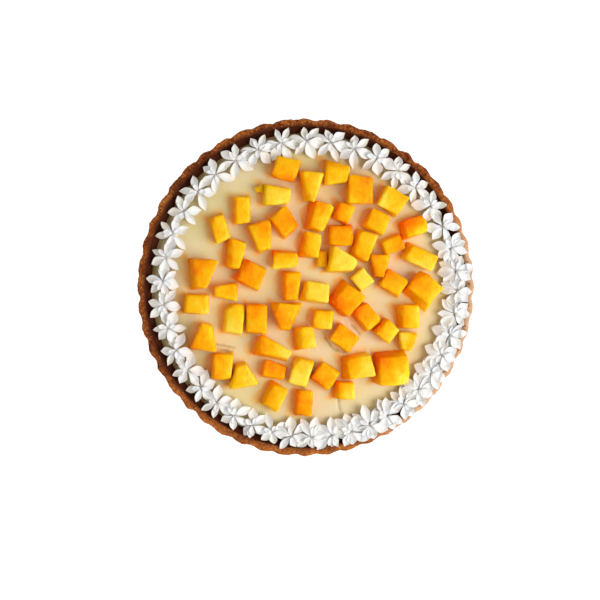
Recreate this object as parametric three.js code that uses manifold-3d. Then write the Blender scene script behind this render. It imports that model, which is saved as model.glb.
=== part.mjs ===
// Mango tart: a fluted biscuit crust, a custard filling, a border of piped cream flowers and diced mango.
// Millimetres, +Z up. The origin is the middle of the crust's flat underside.
import * as THREE from 'three';
import { mergeVertices } from 'three/addons/utils/BufferGeometryUtils.js';
import Module from 'manifold-3d';

const wasm = await Module();
wasm.setup();

// ---- Driving dimensions ----------------------------------------------------------------------------

// Crust, pressed into a 24 cm fluted tin
const CREST_RADIUS = 120;
const FLUTE_COUNT = 48;
const FLUTE_DEPTH = 2.2;
const CRUST_HEIGHT = 25;
const RIM_INNER_RADIUS = 113.2;
const RIM_ROUNDING = 1.4;
const RIM_UNEVENNESS = 0.5;
const RIM_TOP_FLUTING = 0.4;
const WALL_FLARE = 4.5;
const BASE_THICKNESS = 4;
const FLOOR_RADIUS = 106.5;
const STEPS_PER_FLUTE = 4;

// Custard filling
const CUSTARD_TOP = 19.5;
const CUSTARD_RADIUS = 109;
const CUSTARD_STEPS = 96;

// Piped cream flowers, which touch their neighbours all round
const FLOWER_COUNT = 41;
const FLOWER_RADIUS = 11.2;
const FLOWER_HEIGHT = 8.5;
const FLOWER_UNEVENNESS = 0.05;
const PETALS = 6;
const STEPS_PER_PETAL = 2;
const PETAL_NOTCH = 0.36;
const RING_RADIUS = 104.5;
const RING_OFFSET = 2.8;
const RING_OFFSET_ANGLE = -25;
const RING_UNEVENNESS = 0.6;
const FIRST_FLOWER_ANGLE = 6.2;
const SPACING_SHIFT = 7.6;
const SPACING_PHASE = 15;
const SPIN_UNEVENNESS = 10;

// Mango dice: a taller die for a wider one
const DIE_BASE_HEIGHT = 2.5;
const DIE_HEIGHT_PER_WIDTH = 0.6;
const DIE_CUT_UNEVENNESS = 0.05;
const DIE_HEIGHT_UNEVENNESS = 0.08;

// Air left between pieces that rest on or in each other
const GAP = 0.3;

const FULL_TURN = 2 * Math.PI;
const radians = THREE.MathUtils.degToRad;

// A repeatable unevenness between -1 and 1, different for each piece and each of its features.
const wobble = (piece, feature) => Math.sin(piece * 12.9 + feature * 4.1);

// ---- Helpers ---------------------------------------------------------------------------------------

const COLOURS = {
  crust: new THREE.MeshStandardMaterial({ color: 0x8a5429, roughness: 0.9, metalness: 0 }),
  custard: new THREE.MeshStandardMaterial({ color: 0xe6cf9f, roughness: 0.45, metalness: 0 }),
  cream: new THREE.MeshStandardMaterial({ color: 0xf4f2ec, roughness: 0.6, metalness: 0 }),
};

// Keeps only the positions, joins the corners that lie on each other and drops flat triangles.
function closedGeometry(geometry) {
  geometry.deleteAttribute('normal');
  geometry.deleteAttribute('uv');
  const merged = mergeVertices(geometry);
  const corners = merged.index.array;
  const kept = [];
  for (let i = 0; i < corners.length; i += 3) {
    const [a, b, c] = corners.slice(i, i + 3);
    if (a !== b && b !== c && c !== a) kept.push(a, b, c);
  }
  merged.setIndex(kept);
  return merged;
}

function solidOf(geometry) {
  const closed = closedGeometry(geometry);
  return new wasm.Manifold(new wasm.Mesh({
    numProp: 3,
    vertProperties: new Float32Array(closed.attributes.position.array),
    triVerts: new Uint32Array(closed.index.array),
  }));
}

function geometryOf(solid) {
  const { vertProperties, triVerts } = solid.getMesh();
  const geometry = new THREE.BufferGeometry();
  geometry.setAttribute('position', new THREE.BufferAttribute(vertProperties, 3));
  geometry.setIndex(new THREE.BufferAttribute(triVerts, 1));
  return geometry;
}

// Turns a half section, a list of [radius, height] points from the axis back to the axis, into a solid.
function turned(section, steps) {
  const points = section.map(([radius, height]) => new THREE.Vector2(radius, height));
  return new THREE.LatheGeometry(points, steps).rotateX(Math.PI / 2);
}

// Moves each point of a turned solid: move(place, angle, row) changes place, { radius, height }.
function reshape(geometry, rows, move) {
  const position = geometry.attributes.position;
  for (let i = 0; i < position.count; i += 1) {
    const angle = Math.atan2(position.getY(i), position.getX(i));
    const place = {
      radius: Math.hypot(position.getX(i), position.getY(i)),
      height: position.getZ(i),
    };
    move(place, angle, i % rows);
    position.setXYZ(i, place.radius * Math.cos(angle), place.radius * Math.sin(angle), place.height);
  }
  return geometry;
}

function named(name, geometry, material) {
  const mesh = new THREE.Mesh(geometry, material);
  mesh.name = name;
  return mesh;
}

// ---- Crust -----------------------------------------------------------------------------------------

// Where the rim's rounded edge begins.
const SHOULDER = CRUST_HEIGHT - RIM_ROUNDING;

// The wall's inner face is steep up to the custard and thins towards the rim above it.
function wallInnerRadius(height) {
  const { lerp, inverseLerp } = THREE.MathUtils;
  if (height <= CUSTARD_TOP) {
    return lerp(FLOOR_RADIUS, CUSTARD_RADIUS, inverseLerp(BASE_THICKNESS, CUSTARD_TOP, height));
  }
  return lerp(CUSTARD_RADIUS, RIM_INNER_RADIUS, inverseLerp(CUSTARD_TOP, SHOULDER, height));
}

// How far the outer face lies inside the crests: round lobes that meet in narrow grooves.
const fluteDip = (angle) => FLUTE_DEPTH * (1 - Math.abs(Math.cos(angle * FLUTE_COUNT / 2)));

// The rim rises and falls a little on its way round: a slow wave with a quicker one on it.
const rimWave = (angle) => RIM_UNEVENNESS * (0.6 * Math.sin(3 * angle) + 0.4 * Math.sin(7 * angle + 1));

function crustShell() {
  const rimMiddle = (RIM_INNER_RADIUS + CREST_RADIUS) / 2;
  // Each row of the section: radius, height, how strongly the flutes and the rim's wave shape it.
  const rows = [
    [0, 0, 0, 0],
    [CREST_RADIUS - WALL_FLARE, 0, 1, 0],
    [CREST_RADIUS, SHOULDER, 1, 1],
    [CREST_RADIUS - RIM_ROUNDING, CRUST_HEIGHT, 1, 1],
    [rimMiddle - RIM_ROUNDING, CRUST_HEIGHT, RIM_TOP_FLUTING, 1],
    [RIM_INNER_RADIUS, SHOULDER, 0, 1],
    [CUSTARD_RADIUS, CUSTARD_TOP, 0, 0],
    [FLOOR_RADIUS, BASE_THICKNESS, 0, 0],
    [0, BASE_THICKNESS, 0, 0],
  ];
  const blank = turned(rows.map(([radius, height]) => [radius, height]), FLUTE_COUNT * STEPS_PER_FLUTE);
  const fluted = reshape(blank, rows.length, (place, angle, row) => {
    const [, , fluteShare, waveShare] = rows[row];
    place.radius -= fluteShare * fluteDip(angle);
    place.height += waveShare * rimWave(angle);
  });
  return closedGeometry(fluted);
}

// ---- Custard ---------------------------------------------------------------------------------------

function custardFilling() {
  const underside = BASE_THICKNESS + GAP;
  const section = [
    [0, underside],
    [wallInnerRadius(underside) - GAP, underside],
    [wallInnerRadius(CUSTARD_TOP) - GAP, CUSTARD_TOP],
    [0, CUSTARD_TOP],
  ];
  return closedGeometry(turned(section, CUSTARD_STEPS));
}

// ---- Cream border ----------------------------------------------------------------------------------

// Half section of a flower, in shares of its radius and height: a narrow foot, the petals' edge, their
// crest and the dip in the middle.
const FLOWER_SECTION = [[0, 0], [0.56, 0], [1, 0.62], [0.55, 1], [0, 0.68]];

function creamFlower(number) {
  const radius = FLOWER_RADIUS * (1 + FLOWER_UNEVENNESS * wobble(number, 1));
  const height = FLOWER_HEIGHT * (1 + FLOWER_UNEVENNESS * wobble(number, 2));
  const section = FLOWER_SECTION.map(([across, up]) => [across * radius, up * height]);
  const round = turned(section, PETALS * STEPS_PER_PETAL);
  const open = reshape(round, section.length, (place, angle) => {
    const betweenPetals = (1 - Math.cos(PETALS * angle)) / 2;
    place.radius *= 1 - PETAL_NOTCH * betweenPetals;
  });
  return solidOf(open);
}

// The flowers sit a little closer together on one half of the ring than on the other.
function flowerPlace(number) {
  const even = number * 360 / FLOWER_COUNT;
  const shift = SPACING_SHIFT * (1 - Math.cos(radians(even - SPACING_PHASE)));
  const angle = radians(FIRST_FLOWER_ANGLE + even + shift + RING_UNEVENNESS * wobble(number, 3));
  const offset = RING_OFFSET * Math.cos(angle - radians(RING_OFFSET_ANGLE));
  const radius = RING_RADIUS + offset + RING_UNEVENNESS * wobble(number, 4);
  // Two petals point along the ring, to the flowers on either side.
  const spin = THREE.MathUtils.radToDeg(angle) + 90 + SPIN_UNEVENNESS * wobble(number, 5);
  return { x: radius * Math.cos(angle), y: radius * Math.sin(angle), spin };
}

// The space the cream may fill: above the custard, inside the wall and over the rim.
function creamRoom() {
  const floor = CUSTARD_TOP + GAP;
  const overRim = CRUST_HEIGHT + RIM_UNEVENNESS + GAP;
  const ceiling = CUSTARD_TOP + 2 * FLOWER_HEIGHT;
  const section = [
    [0, floor],
    [wallInnerRadius(floor) - 2 * GAP, floor],
    [RIM_INNER_RADIUS - 2 * GAP, overRim],
    [CREST_RADIUS, overRim],
    [CREST_RADIUS, ceiling],
    [0, ceiling],
  ];
  return solidOf(turned(section, FLUTE_COUNT * STEPS_PER_FLUTE));
}

function creamBorder() {
  const flowers = [];
  for (let number = 0; number < FLOWER_COUNT; number += 1) {
    const { x, y, spin } = flowerPlace(number);
    flowers.push(creamFlower(number).rotate([0, 0, spin]).translate([x, y, CUSTARD_TOP + GAP]));
  }
  const ring = flowers.reduce((joined, flower) => joined.add(flower));
  return geometryOf(ring.intersect(creamRoom()));
}

// ---- Mango dice ------------------------------------------------------------------------------------

// Where each die lies, its footprint (along and across its turn), how much its far end narrows (pinch)
// and how far its top is cut over to one side (lean). Laid row by row from the top left.
const DICE = [
  { at: [-13.8, 83.2], size: [16.2, 15.2], turn: -15 },
  { at: [21.9, 79.8], size: [15.8, 17.4], turn: -5, pinch: 0.4, lean: [0.6, 0] },
  { at: [-20.5, 64.2], size: [17.2, 14.2], turn: -4, pinch: 0.3, lean: [1.8, 0] },
  { at: [3, 70.6], size: [20, 15.4], turn: -94, pinch: 0.75, lean: [3.2, 0] },
  { at: [38.6, 68.4], size: [18.6, 16.6], turn: 88, lean: [2.2, 0] },
  { at: [60.7, 60.5], size: [16.2, 14.8], turn: -30, lean: [1.8, -1] },
  { at: [-44.8, 54.4], size: [18.4, 10.6], turn: 92, lean: [0.6, 0] },
  { at: [-60.6, 41.4], size: [18, 10.2], turn: 108, lean: [1.2, 0] },
  { at: [-30.8, 35.4], size: [19.6, 16.2], turn: -78, pinch: 0.5 },
  { at: [-14.7, 45.8], size: [16.6, 14.2], turn: -53, pinch: 0.1 },
  { at: [9.6, 49.6], size: [19.2, 14.6], turn: 251, pinch: 0.3, lean: [4, 0.6] },
  { at: [26.6, 52.5], size: [12.4, 10.6], turn: 68, lean: [1.8, 0] },
  { at: [50.5, 46.3], size: [14, 13.6], turn: -24, lean: [1.4, 0.6] },
  { at: [76.2, 42.6], size: [16, 11.8], turn: 18, lean: [3.2, 1.2] },
  { at: [24.8, 36.6], size: [15.4, 13], turn: 0, lean: [1, 0] },
  { at: [40.6, 29.2], size: [18.8, 11.2], turn: 69, lean: [2.2, 0] },
  { at: [61.4, 29.9], size: [13.4, 9.4], turn: 22, lean: [0.5, -0.5] },
  { at: [80.5, 21], size: [20.2, 11.2], turn: -26, lean: [3.2, -1] },
  { at: [-50.2, 23.2], size: [19, 11.4], turn: -102, pinch: 0.3, lean: [3.6, 0] },
  { at: [-14.4, 19.2], size: [16.4, 11.4], turn: 0, pinch: 0.2, lean: [0, -1.2] },
  { at: [3.6, 29.6], size: [16.2, 10.8], turn: 80, lean: [3, 0.4] },
  { at: [11.6, 19.8], size: [10.4, 5.8], turn: 90, lean: [1.2, 0] },
  { at: [25.3, 17], size: [18, 18], turn: -15, pinch: 0.6, lean: [3, 1] },
  { at: [51.8, 14.8], size: [15, 12.6], turn: -92, pinch: 0.55, lean: [0.8, 0] },
  { at: [39.8, 5], size: [11.8, 11.2], turn: -50 },
  { at: [61.8, 2.6], size: [16, 13], turn: -30, lean: [0.8, 0] },
  { at: [83, -2], size: [20.2, 16.2], turn: -40, lean: [2.4, 3] },
  { at: [-73.6, 9], size: [20, 18], turn: -98, pinch: 0.6, lean: [3.4, 0.4] },
  { at: [-38.4, 8.8], size: [17, 15.6], turn: -25, lean: [1.2, -0.8] },
  { at: [-56.4, -3.4], size: [15.2, 12.2], turn: 180, pinch: 0.5 },
  { at: [-9.9, 0.6], size: [19, 12.4], turn: -92, pinch: 0.3 },
  { at: [7.2, -3.4], size: [16.4, 12.6], turn: -8, lean: [3, 1] },
  { at: [28.2, -8.4], size: [18.4, 15.6], turn: 50, lean: [3.6, -2] },
  { at: [-77, -11.8], size: [15.8, 12.4], turn: -3, lean: [1.2, 0] },
  { at: [-50.6, -22.6], size: [19.6, 12.2], turn: 84, lean: [1, 0] },
  { at: [-34.6, -22.6], size: [19.6, 13.6], turn: 88 },
  { at: [-14, -20.6], size: [17.8, 20.8], turn: -92, pinch: 0.7 },
  { at: [12.2, -23], size: [12.6, 12.2], turn: -5 },
  { at: [42.6, -21.2], size: [16.6, 11.6], turn: -52, lean: [2.2, 1.8] },
  { at: [72, -20.8], size: [15.8, 13.2], turn: -88, pinch: 0.2, lean: [4, 0] },
  { at: [-70.6, -35.2], size: [18, 18], turn: 82, pinch: 0.6, lean: [1, 0] },
  { at: [-0.8, -35.8], size: [14.6, 11.2], turn: 98, lean: [3.2, 0.4] },
  { at: [27.4, -36.4], size: [16.5, 13], turn: -36 },
  { at: [57.4, -30.8], size: [12.6, 12.2], turn: 48, lean: [2.4, -2] },
  { at: [71.4, -38.4], size: [12, 12.4], turn: -97, pinch: 0.5 },
  { at: [-22.8, -44.4], size: [24, 13.6], turn: -20, pinch: 0.6, lean: [3, 1] },
  { at: [-58.8, -55.8], size: [17.4, 13.4], turn: 86, lean: [2, 0] },
  { at: [-44.6, -62.2], size: [15.2, 21], turn: 97, pinch: 0.7, lean: [2, -1] },
  { at: [-21.9, -58.8], size: [15, 11.8], turn: -15, pinch: 0.3 },
  { at: [-3.2, -60], size: [18.4, 12.4], turn: 73 },
  { at: [14.2, -62.4], size: [14.2, 14], turn: -35, lean: [0.5, 0] },
  { at: [36.8, -55.8], size: [18.2, 14.6], turn: 9, lean: [4, -0.8] },
  { at: [60.6, -57.4], size: [21.2, 20.2], turn: 2, lean: [3.4, -2.4] },
  { at: [27.4, -72.8], size: [11.6, 11.2], turn: -4, lean: [2.4, 0] },
  { at: [-22.2, -77.3], size: [16.4, 11.2], turn: 63, lean: [1.6, -1.6] },
  { at: [-1.1, -82], size: [16.8, 10.4], turn: 86, lean: [0.5, 0] },
];

// The flesh runs from pale yellow to orange.
const MANGO_PALE = new THREE.Color(0xffcf3a);
const MANGO_DEEP = new THREE.Color(0xff9a10);

// A hand-cut block: eight corners, none quite square.
function mangoBlock(number, { size: [long, wide], turn, pinch = 0, lean = [0, 0] }) {
  const evenHeight = DIE_BASE_HEIGHT + DIE_HEIGHT_PER_WIDTH * Math.min(long, wide);
  const height = evenHeight * (1 + DIE_HEIGHT_UNEVENNESS * wobble(number, 6));
  const leanOver = new THREE.Vector2(...lean).rotateAround(new THREE.Vector2(), -radians(turn));
  const block = new THREE.BoxGeometry(2, 2, 1).translate(0, 0, 0.5);
  const corners = block.attributes.position;
  for (let i = 0; i < corners.count; i += 1) {
    const [endwise, sidewise, up] = [corners.getX(i), corners.getY(i), corners.getZ(i)];
    // A number of its own for each corner, so that each is cut a little differently.
    const corner = 10 + 4 * (endwise + 1) + 2 * (sidewise + 1) + up;
    const narrowing = endwise > 0 ? 1 - pinch : 1;
    const topShrink = up > 0 ? 1 - DIE_CUT_UNEVENNESS : 1;
    const along = endwise * topShrink * (0.5 + DIE_CUT_UNEVENNESS * wobble(number, corner)) * long;
    const half = sidewise * topShrink * (0.5 + DIE_CUT_UNEVENNESS * wobble(number, corner + 20)) * wide;
    // Half of the lean moves the top one way and half moves the foot the other way.
    const share = up - 0.5;
    const level = height * (1 + DIE_HEIGHT_UNEVENNESS * wobble(number, corner + 40));
    corners.setXYZ(i, along + share * leanOver.x, half * narrowing + share * leanOver.y, up * level);
  }
  return closedGeometry(block);
}

function mangoDie(row, index) {
  const number = index + 1;
  const flesh = MANGO_PALE.clone().lerp(MANGO_DEEP, 0.5 + 0.5 * wobble(number, 7));
  const material = new THREE.MeshStandardMaterial({ color: flesh, roughness: 0.35, metalness: 0 });
  const die = named(`mango_${String(number).padStart(2, '0')}`, mangoBlock(number, row), material);
  die.position.set(...row.at, CUSTARD_TOP + GAP);
  die.rotation.z = radians(row.turn);
  return die;
}

// ---- The whole tart --------------------------------------------------------------------------------

const group = new THREE.Group();
group.add(named('crust', crustShell(), COLOURS.crust));
group.add(named('custard', custardFilling(), COLOURS.custard));
group.add(named('cream_border', creamBorder(), COLOURS.cream));
DICE.forEach((row, index) => group.add(mangoDie(row, index)));

export default group;
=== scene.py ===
# %% [markdown]
# # A mango tart
# A fluted biscuit crust holds a set custard. Small piped cream flowers run round the rim, and hand-cut
# dice of ripe mango lie scattered over the middle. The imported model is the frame: it says where every
# piece lies and how large it is. Each piece is then made again here with its real surface.

# %% Load the frame
import math
import random

import bpy
import bmesh
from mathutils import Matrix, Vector, kdtree, noise


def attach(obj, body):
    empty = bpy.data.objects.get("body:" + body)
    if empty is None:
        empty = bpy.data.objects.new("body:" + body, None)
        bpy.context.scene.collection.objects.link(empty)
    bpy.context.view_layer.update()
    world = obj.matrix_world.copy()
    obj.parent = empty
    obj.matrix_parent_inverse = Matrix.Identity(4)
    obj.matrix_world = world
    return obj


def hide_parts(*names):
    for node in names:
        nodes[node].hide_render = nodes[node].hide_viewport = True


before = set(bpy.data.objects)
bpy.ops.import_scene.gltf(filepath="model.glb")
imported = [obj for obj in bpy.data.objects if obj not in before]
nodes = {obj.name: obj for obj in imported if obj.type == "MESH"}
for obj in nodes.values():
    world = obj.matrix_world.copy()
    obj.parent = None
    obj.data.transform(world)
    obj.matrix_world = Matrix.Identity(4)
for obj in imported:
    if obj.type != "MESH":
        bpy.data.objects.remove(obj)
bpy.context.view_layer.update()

MM = 0.001

# %% [markdown]
# ## Helpers for materials
# Colours are written as sRGB hex, as a colour picker shows them, but a shader calculates with linear
# light, so one function turns the first into the second. A material is a tree of nodes. They could be
# drawn by hand in the shader editor, but written down they can be read, changed and made again, so one
# more function adds any node with its settings, fixed values, links and colour stops in a single call.

# %% Colour and node helpers
def linear(hex_colour):
    """Turns an sRGB hex colour into linear red, green, blue and alpha."""
    channels = [int(hex_colour[start:start + 2], 16) / 255 for start in (1, 3, 5)]
    light = [c / 12.92 if c <= 0.04045 else ((c + 0.055) / 1.055) ** 2.4 for c in channels]
    return (*light, 1.0)


def add_node(tree, kind, values=None, links=None, stops=(), **settings):
    """Adds a shader node; values and links go by input name or number, a ramp's stops by position."""
    node = tree.nodes.new("ShaderNode" + kind)
    for name, setting in settings.items():
        setattr(node, name, setting)
    for name, value in (values or {}).items():
        node.inputs[name].default_value = value
    for name, output in (links or {}).items():
        tree.links.new(output, node.inputs[name])
    for number, (position, hex_colour) in enumerate(stops):
        elements = node.color_ramp.elements
        element = elements[number] if number < len(elements) else elements.new(position)
        element.position = position
        element.color = linear(hex_colour)
    return node


# A colour mix has several inputs called A and B, so its two colours and its result go by number.
MIX_UNDER, MIX_OVER, MIX_RESULT = 6, 7, 2


def new_material(name):
    """Starts a material with an empty tree and the places on the mesh, in metres."""
    material = bpy.data.materials.new(name)
    material.use_nodes = True
    tree = material.node_tree
    tree.nodes.clear()
    places = add_node(tree, "TexCoord").outputs["Object"]
    return material, tree, places


def close_material(tree, colour, roughness, normal, values):
    """Adds the surface shader with its fixed values, and the output."""
    surface = add_node(
        tree, "BsdfPrincipled", values=values,
        links={"Base Color": colour, "Roughness": roughness, "Normal": normal},
    )
    add_node(tree, "OutputMaterial", links={"Surface": surface.outputs["BSDF"]})


def spaced(millimetres):
    """The noise scale whose features are this many millimetres apart, for places in metres."""
    return 1 / (millimetres * MM)


def smooth_step(low, high, value):
    """Goes from 0 at low to 1 at high with soft ends."""
    share = min(max((value - low) / (high - low), 0.0), 1.0)
    return share * share * (3 - 2 * share)


print("middle grey #808080 is", round(linear("#808080")[0], 3), "in linear light")

# %% [markdown]
# ## Biscuit crust
# The crust is crushed ginger biscuit and butter, pressed into a fluted tin and baked. That leaves it
# dry and matt, with a visible grit of crumbs, dark in the hollows and lighter on the grains that stand
# out: the colour follows partly the browned patches and partly the same crumb noise as the bump, so the
# dark in the bump's hollows is painted shade. The colour could come from a painted image, but two noises
# have no seam and stay sharp close up: one is as large as a browned patch, one as small as a crumb. The
# inner face and the inner side of the rim are painted nearly black-brown, as painted shade, strongest on
# the side away from the window. The rim is painted much paler where the window lights it, with a
# second, fainter patch further round, as painted light. The mesh carries the painted shade and the
# painted light as two numbers. Grain finer than its faces is left to a bump.

# %% Biscuit material
CRUMB_SIZE = 1.7
BROWNED_PATCH = 13
CRUMB_SHARE = 0.6
GRIT_DEPTH = 0.6
BISCUIT_BROWNS = [(0.36, "#2c1205"), (0.46, "#733711"), (0.55, "#a85c20"), (0.67, "#d0924c")]
# The colour of the painted shade on the inner face and the rim.
SHADED_BISCUIT = "#471c08"
# Painted light: the paler colours of the rim where the window lights it.
LIT_BISCUITS = [(0.0, "#cc6f24"), (0.25, "#d48440"), (0.6, "#e6c39c")]

def biscuit_material():
    material, tree, places = new_material("baked_biscuit_crumb")
    patches = add_node(
        tree, "TexNoise", {"Scale": spaced(BROWNED_PATCH), "Detail": 3.0}, {"Vector": places}
    ).outputs["Fac"]
    crumbs = add_node(
        tree, "TexNoise", {"Scale": spaced(CRUMB_SIZE), "Detail": 4.0, "Roughness": 0.65}, {"Vector": places}
    ).outputs["Fac"]
    # The colour takes partly the same crumb noise as the bump, so it is darker in the bump's hollows: painted
    # shade.
    mottle = add_node(tree, "Mix", {"Factor": CRUMB_SHARE}, {"A": patches, "B": crumbs}, data_type="FLOAT")
    browned = add_node(tree, "ValToRGB", links={"Fac": mottle.outputs["Result"]}, stops=BISCUIT_BROWNS)
    # Painted light: the rim is painted paler on the window's side.
    pale = add_node(tree, "Attribute", attribute_name="pale").outputs["Fac"]
    painted_light_tint = add_node(tree, "ValToRGB", links={"Fac": pale}, stops=LIT_BISCUITS)
    browned_and_lit = add_node(
        tree, "Mix", data_type="RGBA",
        links={"Factor": pale, MIX_UNDER: browned.outputs["Color"], MIX_OVER: painted_light_tint.outputs["Color"]},
    )
    # Painted shade on the inner face and the inner side of the rim.
    painted_shade = add_node(tree, "Attribute", attribute_name="painted_shade").outputs["Fac"]
    colour = add_node(
        tree, "Mix", {MIX_OVER: linear(SHADED_BISCUIT)},
        {"Factor": painted_shade, MIX_UNDER: browned_and_lit.outputs[MIX_RESULT]}, data_type="RGBA",
    )
    grit = add_node(tree, "Bump", {"Strength": 0.9, "Distance": GRIT_DEPTH * MM}, {"Height": crumbs})
    roughness = add_node(tree, "MapRange", {"To Min": 0.75, "To Max": 0.95}, {"Value": crumbs})
    close_material(
        tree, colour.outputs[MIX_RESULT], roughness.outputs["Result"], grit.outputs["Normal"],
        {"IOR": 1.45, "Specular IOR Level": 0.2},
    )
    return material


biscuit = biscuit_material()
print("made", biscuit.name)

# %% [markdown]
# ## Custard
# A set custard is milk, egg and starch: opaque within a few millimetres, pale, and smooth enough to
# shine softly. Light goes in a little way and comes out warmer. A warm colour alone could stand for
# that, but subsurface scattering with a longer reach for red also softens the shadows, as the real one
# does. Its colour drifts slowly between straw and cream. Mango juice stains it round each die, pale
# yellow where it is thin and orange where it is thick; on the side of each die away from the window the
# orange is stronger and reaches further, as painted shadow. Against the crust and in its cracks it is
# painted darker, as painted shade. The mesh carries the juice with its painted shadow, and the painted
# shade, as two numbers.

# %% Custard material
DRIFT_SIZE = 34
RIPPLE_SIZE = 3.2
RIPPLE_DEPTH = 0.3
CUSTARD_TONES = [(0.36, "#dcd299"), (0.48, "#ded2a1"), (0.62, "#e0d2a9")]
# Juice stain, from pale yellow to deep orange; the deep orange on the side of each die away from the window
# is painted shadow as well as juice.
JUICE_AND_SHADOW_TONES = [(0.0, "#e4cf88"), (0.5, "#ecb84e"), (1.0, "#f6a028")]
# The colour of the painted shade against the crust and in the cracks.
SHADED_CUSTARD = "#7d6632"

def custard_material():
    material, tree, places = new_material("set_custard")
    drift = add_node(
        tree, "TexNoise", {"Scale": spaced(DRIFT_SIZE), "Detail": 5.0, "Roughness": 0.6}, {"Vector": places}
    ).outputs["Fac"]
    plain = add_node(tree, "ValToRGB", links={"Fac": drift}, stops=CUSTARD_TONES)
    # Juice stain, with painted shadow on the side of each die away from the window.
    juice_and_shadow = add_node(tree, "Attribute", attribute_name="juice_and_shadow").outputs["Fac"]
    juice_and_shadow_tone = add_node(tree, "ValToRGB", links={"Fac": juice_and_shadow}, stops=JUICE_AND_SHADOW_TONES)
    with_juice_and_shadow = add_node(
        tree, "Mix", data_type="RGBA",
        links={"Factor": juice_and_shadow, MIX_UNDER: plain.outputs["Color"], MIX_OVER: juice_and_shadow_tone.outputs["Color"]},
    )
    # Painted shade against the crust and in the cracks.
    painted_shade = add_node(tree, "Attribute", attribute_name="painted_shade").outputs["Fac"]
    colour = add_node(
        tree, "Mix", {MIX_OVER: linear(SHADED_CUSTARD)},
        {"Factor": painted_shade, MIX_UNDER: with_juice_and_shadow.outputs[MIX_RESULT]}, data_type="RGBA",
    )
    ripple = add_node(
        tree, "TexNoise", {"Scale": spaced(RIPPLE_SIZE), "Detail": 3.0, "Roughness": 0.55}, {"Vector": places}
    )
    skin = add_node(
        tree, "Bump", {"Strength": 0.6, "Distance": RIPPLE_DEPTH * MM}, {"Height": ripple.outputs["Fac"]}
    )
    roughness = add_node(tree, "MapRange", {"To Min": 0.3, "To Max": 0.5}, {"Value": drift})
    close_material(
        tree, colour.outputs[MIX_RESULT], roughness.outputs["Result"], skin.outputs["Normal"],
        {
            "IOR": 1.38, "Subsurface Weight": 0.3, "Subsurface Radius": (1.0, 0.55, 0.25),
            "Subsurface Scale": 2 * MM,
        },
    )
    return material


custard_finish = custard_material()
print("made", custard_finish.name)

# %% [markdown]
# ## Whipped cream
# Whipped cream is full of air, so it is nearly white, matt and soft in its shadows: light spreads a
# little inside it. A fine grain shows where the bubbles broke on the piped edges. Its white is kept a
# little below paper white, so that the petals' own shading shows. Low down, next to the custard, it is
# painted warmer, as painted shade and light bounced from the custard. A second material could do that,
# but it would end in a line, so one material fades from one colour to the other by height.

# %% Cream material
CREAM_WHITES = [(0.35, "#e4e8ec"), (0.65, "#e8e8e5")]
CREAM_PATCH = 9
# Painted shade and bounced light low down: how much, its colour, and the heights in mm where it is full and
# where it is gone.
BOUNCE_SHARE_LOW_DOWN = 0.75
BOUNCE_WARMED_CREAM = "#edd9ae"
WARMEST_BELOW = 20
WHITE_ABOVE = 26
# Real bubbles are too fine to show, so they are drawn this many millimetres apart.
BUBBLE_SIZE = 0.9
BUBBLE_DEPTH = 0.12

def cream_material():
    material, tree, places = new_material("whipped_cream")
    warmth = add_node(tree, "TexNoise", {"Scale": spaced(CREAM_PATCH), "Detail": 2.0}, {"Vector": places})
    white = add_node(tree, "ValToRGB", links={"Fac": warmth.outputs["Fac"]}, stops=CREAM_WHITES)
    height = add_node(tree, "SeparateXYZ", links={"Vector": places}).outputs["Z"]
    # Painted shade and light bounced from the custard, warmer low down.
    painted_bounce = add_node(
        tree, "MapRange", links={"Value": height}, values={
            "From Min": WARMEST_BELOW * MM, "From Max": WHITE_ABOVE * MM,
            "To Min": BOUNCE_SHARE_LOW_DOWN, "To Max": 0.0,
        },
    )
    colour = add_node(
        tree, "Mix", {MIX_OVER: linear(BOUNCE_WARMED_CREAM)},
        {"Factor": painted_bounce.outputs["Result"], MIX_UNDER: white.outputs["Color"]}, data_type="RGBA",
    )
    bubbles = add_node(
        tree, "TexNoise", {"Scale": spaced(BUBBLE_SIZE), "Detail": 3.0}, {"Vector": places}
    ).outputs["Fac"]
    grain = add_node(tree, "Bump", {"Strength": 0.2, "Distance": BUBBLE_DEPTH * MM}, {"Height": bubbles})
    roughness = add_node(tree, "MapRange", {"To Min": 0.45, "To Max": 0.6}, {"Value": bubbles})
    close_material(
        tree, colour.outputs[MIX_RESULT], roughness.outputs["Result"], grain.outputs["Normal"],
        {
            "IOR": 1.35, "Subsurface Weight": 0.4, "Subsurface Radius": (1.0, 0.9, 0.8),
            "Subsurface Scale": 1.6 * MM,
        },
    )
    return material


cream_finish = cream_material()
print("made", cream_finish.name)

# %% [markdown]
# ## Ripe mango
# Cut mango is wet and full of fine fibres. Its flesh runs from yellow near the stone to deep orange
# under the skin. Light goes far into it, red furthest, so the sides turned away from the light glow
# orange-red: scattering through the whole die gives much of that, and the sides are also painted a
# deeper orange, as painted shade. Fifty-six materials could give the dice their colours, but one is
# enough, because every die carries its ripeness, with that painted shade, on its own mesh. A patchy
# noise and a stretched one, for the fibres, move the colour a little up and down from there.

# %% Mango material
MANGO_FLESH = [(0.0, "#fcdc50"), (0.25, "#ffc818"), (0.5, "#ffae02"), (0.75, "#fd8900"), (1.0, "#f26400")]
FLESH_PATCH = 7
PATCH_SHIFT = 0.12
# Real fibres are too fine to show, so they are drawn this many millimetres apart.
FIBRE_SPACING = 0.9
FIBRE_STRETCH = (1.0, 0.22, 1.0)
FIBRE_SHIFT = 0.09
FIBRE_DEPTH = 0.2
# Nearly all the values of a noise lie between these.
NOISE_LOW, NOISE_HIGH = 0.3, 0.7

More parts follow.
